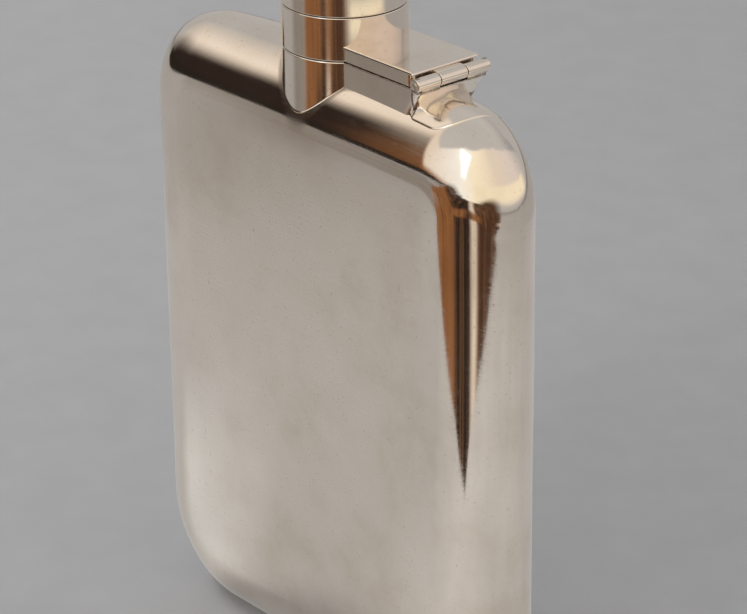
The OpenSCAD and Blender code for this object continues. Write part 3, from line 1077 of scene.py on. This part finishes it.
GREY, BROWN, DARK_BROWN, DEEP = tone(176, 168, 159), tone(134, 86, 50), tone(76, 50, 34), tone(44, 33, 27)
PALE, CREAM, CEILING = tone(222, 200, 176), tone(250, 228, 190), tone(190, 180, 170)


def card_near():
    """Plain grey paper all round the flask, painted a little lighter on the side of the window, with painted light
    falloff making it darker further out and a painted contact shadow by the foot.
    """
    k = Mat("card_near")
    az, r = polar(k, 0.0, 0.0)
    col = by_angle(k, az, [(-180, GREY), (-22, GREY), (20, tone(202, 192, 181)), (60, tone(190, 181, 170)), (130, GREY), (180, GREY)])
    # painted light falloff: darker further from the flask, weighted by azimuth
    painted_falloff = k.math("MULTIPLY", k.range(az, -64, -48, 0.35, 1.0, True), k.range(az, 10, 60, 1.0, 0.4, True))
    col = k.mix(k.math("MULTIPLY", k.range(r, 0.21, 0.28, 0.0, 1.0, True), painted_falloff), col, (*tone(130, 118, 106), 1))
    # painted bounce light: a small white brighter patch by the foot on the left
    painted_bounce = k.math("MULTIPLY", k.range(az, -80, -62, 0.0, 1.0, True), k.range(az, -62, -50, 1.0, 0.0, True))
    painted_bounce = k.math("MULTIPLY", painted_bounce, k.math("MULTIPLY", k.range(r, 0.030, 0.050, 0.0, 1.0, True), k.range(r, 0.085, 0.150, 1.0, 0.0, True)))
    col = k.mix(painted_bounce, col, (*tone(205, 199, 191), 1))
    n = k.noise(16.0, 3.0, 0.5)
    col = k.mix(k.range(n, 0.35, 0.65, 0.0, 0.30), col, (*tone(160, 152, 146), 1))
    # painted contact shadow: darker close round the foot
    col = k.mix(k.range(r, 0.026, 0.040, 0.45, 0.0, True), col, (*tone(90, 84, 78), 1))
    emission(k, col)
    pts = [(-760, -620), (1200, -620), (1200, 900), (-760, 900)]
    card_only(sheet_mesh("card_near", pts, k.m, 0.10))


card_near()


def card_front():
    """Brown card on the floor in front, with a dark flag and a pale strip standing on it."""
    k = Mat("card_front")
    az, r = polar(k, 0.041, -0.018)
    near = by_angle(k, az, [(-60, GREY), (-46, DARK_BROWN), (-36, BROWN), (-16, BROWN), (-11, DEEP), (6, DEEP), (11, PALE), (15, PALE),
                            (19, DARK_BROWN), (50, DARK_BROWN), (62, GREY)], -60, 70)
    az0, r0 = polar(k, 0.0, 0.0)
    far = by_angle(k, az0, [(-60, GREY), (-38, GREY), (-20, BROWN), (4, BROWN), (11, DARK_BROWN), (15, DARK_BROWN), (19, BROWN), (26, BROWN),
                            (31, DARK_BROWN), (46, DARK_BROWN), (60, PALE), (75, CREAM), (90, CREAM)], -60, 90)
    ring = k.math("MULTIPLY", k.range(r, 0.284, 0.314, 0.0, 1.0, True), k.range(r, 0.395, 0.450, 1.0, 0.0, True))
    col = k.mix(ring, near, far)
    streak = k.noise(1.0, 3.0, 0.6, k.scaled((26.0, 26.0, 26.0)))
    col = k.mix(k.range(streak, 0.45, 0.70, 0.0, 0.30), col, (*DEEP, 1))
    # the card is brushed along its length
    line = k.n("CombineXYZ")
    k.link(k.math("MULTIPLY", az, 0.42), line.inputs[0])
    k.link(k.math("MULTIPLY", r, 2.0), line.inputs[1])
    brush = k.noise(1.0, 4.0, 0.65, line.outputs[0])
    col = k.mix(k.range(brush, 0.52, 0.68, 0.0, 0.50), col, (*tone(176, 126, 84), 1))
    col = k.mix(k.range(brush, 0.46, 0.34, 0.0, 0.60), col, (*DEEP, 1))
    emission(k, col)
    pts = [(-260, -520), (-185, -345), (-139, -252), (-101, -196), (-59, -173), (-21, -156), (14, -135), (30, -116), (43, -104),
           (50, -118), (62, -136), (94, -156), (154, -166), (200, -160), (236, -150), (300, -190), (700, -440), (1400, -900),
           (2560, -2560), (-560, -2560)]
    card_only(sheet_mesh("card_front", pts[::-1], k.m, 0.25))


card_front()


def card_cap():
    """Small curved cream reflector standing beyond the hinge, close to the cap."""
    k = Mat("card_cap")
    sep = k.n("SeparateXYZ")
    k.link(k.co, sep.inputs[0])
    az, r = polar(k, 0.0, 0.0)
    z = sep.outputs[2]
    n = k.noise(30.0, 3.0, 0.5)
    col = k.mix(k.range(n, 0.35, 0.65, 0.0, 0.4), (*tone(242, 222, 188), 1), (*tone(228, 204, 170), 1))
    edge = k.math("MULTIPLY", k.range(z, 0.1030, 0.1070, 0.0, 1.0, True), k.range(z, 0.1110, 0.1140, 1.0, 0.0, True))
    edge = k.math("MULTIPLY", edge, k.math("MULTIPLY", k.range(az, 54, 62, 0.0, 1.0, True), k.range(az, 108, 124, 1.0, 0.0, True)))
    emission(k, col, edge)
    verts = []
    for i in range(41):
        a = math.radians(52 + 74 * i / 40)
        for h in (102.0, 114.0):
            verts.append((60 * math.sin(a) * MM, -60 * math.cos(a) * MM, h * MM))
    me = bpy.data.meshes.new("card_cap")
    me.from_pydata(verts, [], [(2 * i, 2 * i + 2, 2 * i + 3, 2 * i + 1) for i in range(40)])
    me.materials.append(k.m)
    ob = bpy.data.objects.new("card_cap", me)
    scene.collection.objects.link(ob)
    card_only(ob)


card_cap()


def card_left():
    """Dark flag far out on the left."""
    k = Mat("card_left")
    e = k.n("Emission")
    e.inputs[0].default_value = (0.022, 0.017, 0.013, 1)
    e.inputs[1].default_value = 1.0
    k.link(e.outputs[0], k.out.inputs["Surface"])
    pts = [(-2560, 120), (-900, 0), (-700, -100), (-620, -300), (-640, -500), (-560, -760), (-500, -2560), (-2560, -2560)]
    ob = sheet_mesh("card_left", pts, k.m, 0.20)
    card_only(ob)


card_left()


def world():
    """Soft studio surroundings: dark flags low down, pale wall and ceiling, and one bright window in front."""
    w = bpy.data.worlds.new("studio")
    scene.world = w
    w.use_nodes = True
    k = Mat.__new__(Mat)
    k.t = w.node_tree
    k.t.nodes.clear()
    k.out = k.t.nodes.new("ShaderNodeOutputWorld")
    k.co = k.t.nodes.new("ShaderNodeTexCoord").outputs["Generated"]
    s = k.n("SeparateXYZ")
    k.link(k.co, s.inputs[0])
    az = k.math("MULTIPLY", k.math("ARCTAN2", s.outputs[0], k.math("MULTIPLY", s.outputs[1], -1.0)), 180 / math.pi)
    el = k.math("MULTIPLY", k.math("ARCSINE", s.outputs[2]), 180 / math.pi)
    def level(stops):
        return k.math("SUBTRACT", k.math("MULTIPLY", by_angle(k, az, [(a, (h + 40) / 120) for a, h in stops]), 120.0), 40.0)
    # dark flags low down, a pale wall above them, the ceiling over it
    low_top = level([(-180, -12), (-104, -10), (-80, 12), (-68, 17), (-58, 20), (-50, 29), (-46, 31), (-41, 25), (-35, 2), (-8, -2), (14, -9), (44, 9), (60, 4), (130, 4), (180, -8)])
    win_top = level([(-180, 30), (-120, 45), (-60, 62), (-28, 28), (0, 50), (50, 66), (105, 65), (150, 44), (180, 12)])
    low = by_angle(k, az, [(-180, GREY), (-108, GREY), (-94, DEEP), (-44, DEEP), (-36, BROWN), (-16, BROWN), (-11, DEEP), (6, DEEP), (11, PALE), (15, PALE), (19, DARK_BROWN), (44, DARK_BROWN),
                           (58, GREY), (180, GREY)])
    mid = by_angle(k, az, [(-180, GREY), (-100, GREY), (-80, tone(206, 190, 172)), (-62, tone(236, 216, 194)), (-46, PALE), (-36, PALE), (-2, tone(250, 240, 226)), (24, tone(248, 228, 194)),
                           (60, tone(224, 204, 180)), (140, tone(216, 198, 184)), (180, GREY)])
    high = k.ramp(k.range(el, 20.0, 85.0, 0.0, 1.0), [(0.0, CEILING), (1.0, tone(182, 173, 164))])
    back_up = k.math("MULTIPLY", k.range(el, 20.0, 60.0, 1.0, 0.0, True), k.math("ADD", k.range(az, 100, 175, 0.0, 1.0, True), k.range(az, -160, -90, 1.0, 0.0, True)), clamp=True)
    high = k.mix(back_up, high, (*tone(152, 148, 143), 1))
    soft = k.range(az, -43, -35, 12.0, 4.0)
    u = k.math("DIVIDE", k.math("SUBTRACT", el, low_top), soft)
    v = k.math("SUBTRACT", el, win_top)
    col = k.mix(k.range(u, -1.0, 1.0, 0.0, 1.0, True), low, mid)
    col = k.mix(k.range(v, -2.0, 3.0, 0.0, 1.0, True), col, high)
    # the window itself
    hot_w = k.range(el, 4.0, 46.0, 3.5, 9.0)
    da = k.math("ABSOLUTE", k.math("SUBTRACT", az, 4.0))
    hot = k.range(k.math("DIVIDE", da, hot_w), 0.55, 1.25, 1.0, 0.0, True)
    hot = k.math("MULTIPLY", hot, k.math("MULTIPLY", k.range(el, 10.0, 17.0, 0.0, 1.0, True), k.range(el, 42.0, 49.0, 1.0, 0.0, True)))
    col = k.mix(hot, col, (2.2, 2.3, 2.3, 1))
    lp = k.n("LightPath")
    plain_sky = k.mix(lp.outputs["Is Camera Ray"], col, (0.62, 0.62, 0.63, 1))
    bg = k.n("Background")
    k.link(plain_sky, bg.inputs[0])
    bg.inputs[1].default_value = 1.0
    k.link(bg.outputs[0], k.out.inputs["Surface"])


world()


def soft_box(name, az, el, dist, w, h, power, colour, spread=180):
    a, e = math.radians(az), math.radians(el)
    d = Vector((math.sin(a) * math.cos(e), -math.cos(a) * math.cos(e), math.sin(e)))
    data = bpy.data.lights.new(name, "AREA")
    data.shape = "RECTANGLE"
    data.size, data.size_y = w * MM, h * MM
    data.energy = power
    data.color = colour
    data.spread = math.radians(spread)
    ob = bpy.data.objects.new(name, data)
    ob.location = d * dist * MM + Vector((0, 0, 0.07))
    ob.rotation_euler = d.to_track_quat("Z", "Y").to_euler()
    scene.collection.objects.link(ob)
    return ob


key_light = soft_box("soft_key", 4, 24, 900, 170, 520, 1.0, (1.0, 0.97, 0.92))
key_light.visible_glossy = False
top_light = soft_box("soft_top", -78, 46, 1000, 380, 380, 5.0, (1.0, 0.99, 0.97))
top_light.visible_glossy = False
